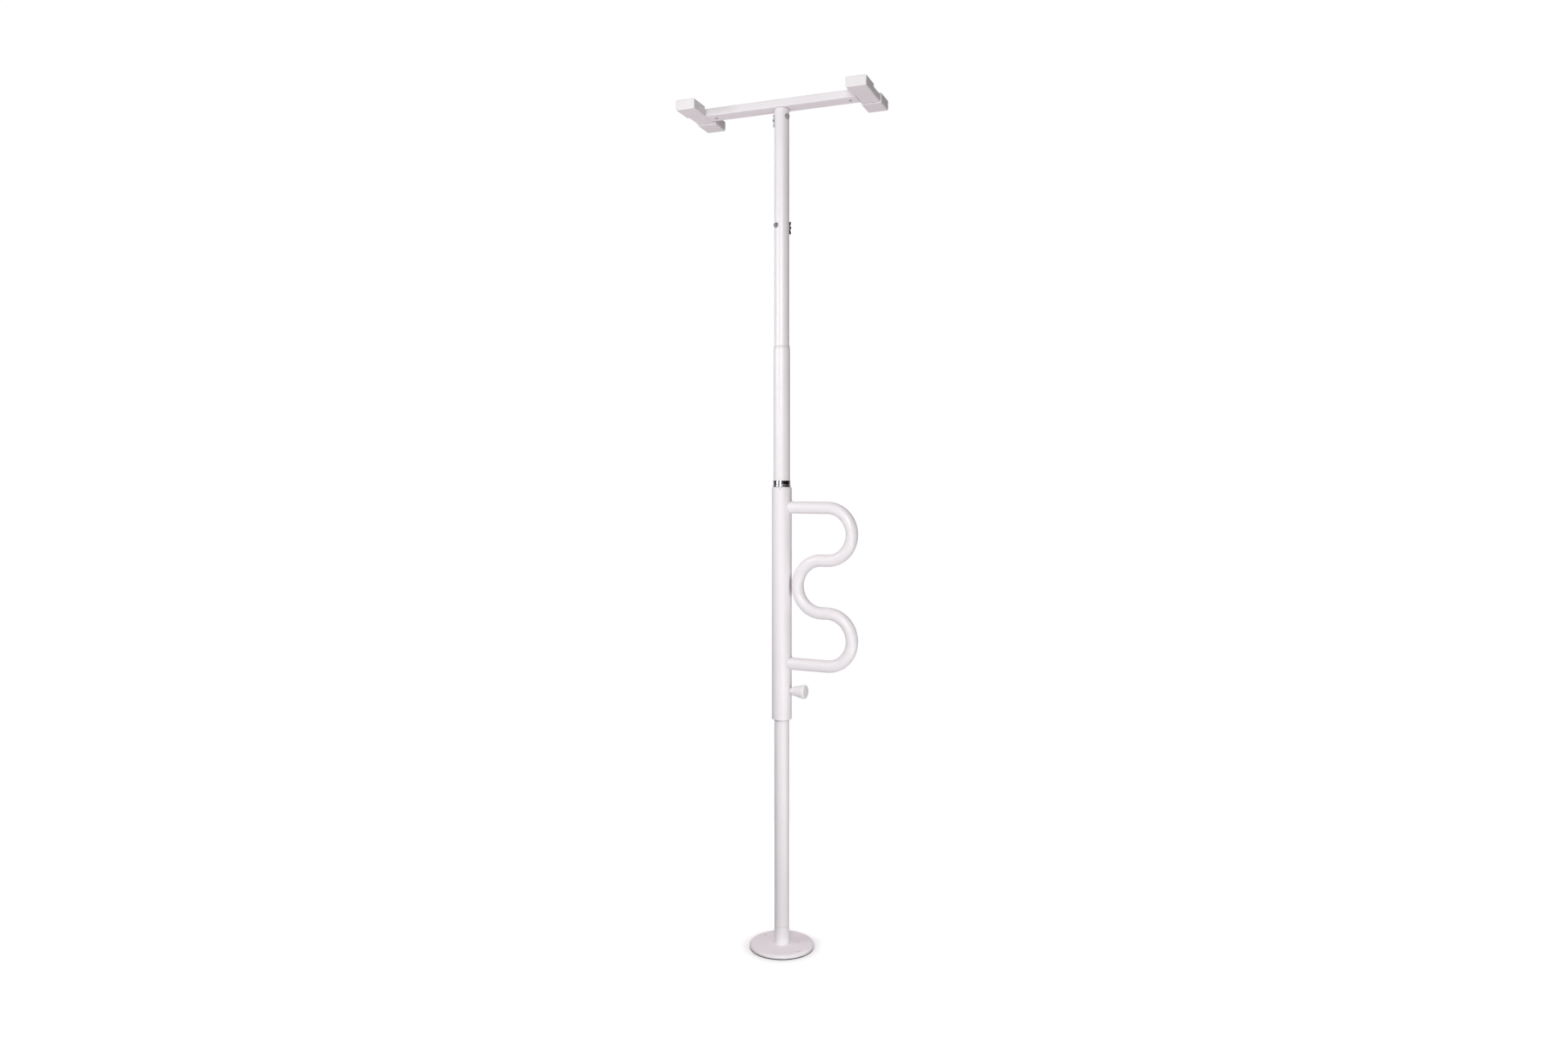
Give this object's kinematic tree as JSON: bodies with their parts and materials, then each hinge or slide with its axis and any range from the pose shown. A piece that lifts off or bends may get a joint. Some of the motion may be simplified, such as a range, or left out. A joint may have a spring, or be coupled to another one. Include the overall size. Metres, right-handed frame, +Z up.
{
  "type": "floor-to-ceiling safety pole with pivoting grab bar",
  "caption": "Tension-mounted pole between a round floor plate and an H-shaped padded ceiling head, with a pivoting, locking curved grab bar.",
  "frame": {"origin": "pole axis at floor level, on the underside of the non-slip floor pad", "axes": "+Z up along the pole, +X in the plane of the curved grab bar at rest, +Y to its left seen from above with +X forward"},
  "size_m": [0.5236, 0.2468, 2.155],
  "materials": {
    "white_powder_coat": "smooth gloss white powder coat",
    "white_cap_rubber": "smooth white moulded rubber",
    "grey_pad_rubber": "matt non-slip rubber",
    "chrome": "polished chrome plate",
    "nylon": "natural nylon",
    "knob_plastic": "white moulded plastic",
    "zinc_steel": "bright zinc plate",
    "spring_steel": "spring steel wire",
    "screw_steel": "oiled bright steel",
    "bronze": "cast bronze"
  },
  "bodies": {
    "base_pole": {"floor_plate": "white_powder_coat", "floor_pad": "grey_pad_rubber", "base_spigot": "white_powder_coat", "lower_tube": "white_powder_coat", "lower_tube_plug": "zinc_steel", "thrust_washer": "nylon"},
    "centre_pole": {"centre_tube": "white_powder_coat", "thrust_seat": "zinc_steel", "bottom_guide_bush": "nylon", "index_ring": "zinc_steel", "support_collar": "zinc_steel", "pivot_collar": "chrome", "collar_grub_screw": "zinc_steel", "jack_nut": "bronze", "top_guide_bush": "nylon"},
    "grab_bar": {"grip_sleeve": "white_powder_coat", "grab_rail": "white_powder_coat", "upper_pivot_bush": "nylon", "lower_pivot_bush": "nylon", "plunger_housing": "white_powder_coat", "plunger_cap": "zinc_steel", "lock_spring": "spring_steel"},
    "lock_plunger": {"lock_pin": "zinc_steel", "lock_knob": "knob_plastic"},
    "upper_pole": {"jack_screw": "screw_steel", "screw_plug": "zinc_steel", "screw_stop": "zinc_steel", "middle_tube": "white_powder_coat", "tube_connector": "zinc_steel", "upper_tube": "white_powder_coat", "cross_bolts": "zinc_steel", "cross_washers": "zinc_steel", "head_spigot": "zinc_steel", "crossbar": "white_powder_coat", "crossbar_inserts": "nylon", "insert_screws": "zinc_steel", "cross_tube_left": "white_powder_coat", "cross_tube_right": "white_powder_coat", "cap_left_front": "white_cap_rubber", "cap_left_back": "white_cap_rubber", "cap_right_front": "white_cap_rubber", "cap_right_back": "white_cap_rubber"},
    "joint_nut": {"joint_wing_nut": "zinc_steel"},
    "head_nut": {"head_wing_nut": "zinc_steel"}
  },
  "joints": [
    {"name": "jack_turn", "type": "hinge", "parent": "base_pole", "child": "centre_pole", "pos_m": [0, 0, 0.787], "axis": [0, 0, 1], "range_deg": [0, 3600]},
    {"name": "upper_lift", "type": "slide", "parent": "base_pole", "child": "upper_pole", "axis": [0, 0, 1], "range_m": [0, 0.05]},
    {"name": "grab_bar_pivot", "type": "hinge", "parent": "centre_pole", "child": "grab_bar", "pos_m": [0, 0, 0.874], "axis": [0, 0, 1], "continuous": true},
    {"name": "lock_pull", "type": "slide", "parent": "grab_bar", "child": "lock_plunger", "axis": [1, 0, 0], "range_m": [-0.004, 0.001], "stiffness_N_per_m": 600, "springref_m": -0.014, "deforming": ["lock_spring"]},
    {"name": "joint_nut_turn", "type": "hinge", "parent": "upper_pole", "child": "joint_nut", "pos_m": [0.00855, 0.02349, 1.834], "axis": [0.342, 0.9397, 0], "continuous": true},
    {"name": "head_nut_turn", "type": "hinge", "parent": "upper_pole", "child": "head_nut", "pos_m": [-0.02349, 0.00855, 2.1096], "axis": [-0.9397, 0.342, 0], "continuous": true}
  ],
  "couplings": [
    {"joint": "upper_lift", "follows": "jack_turn", "m_per_rad": 0.00079577}
  ]
}
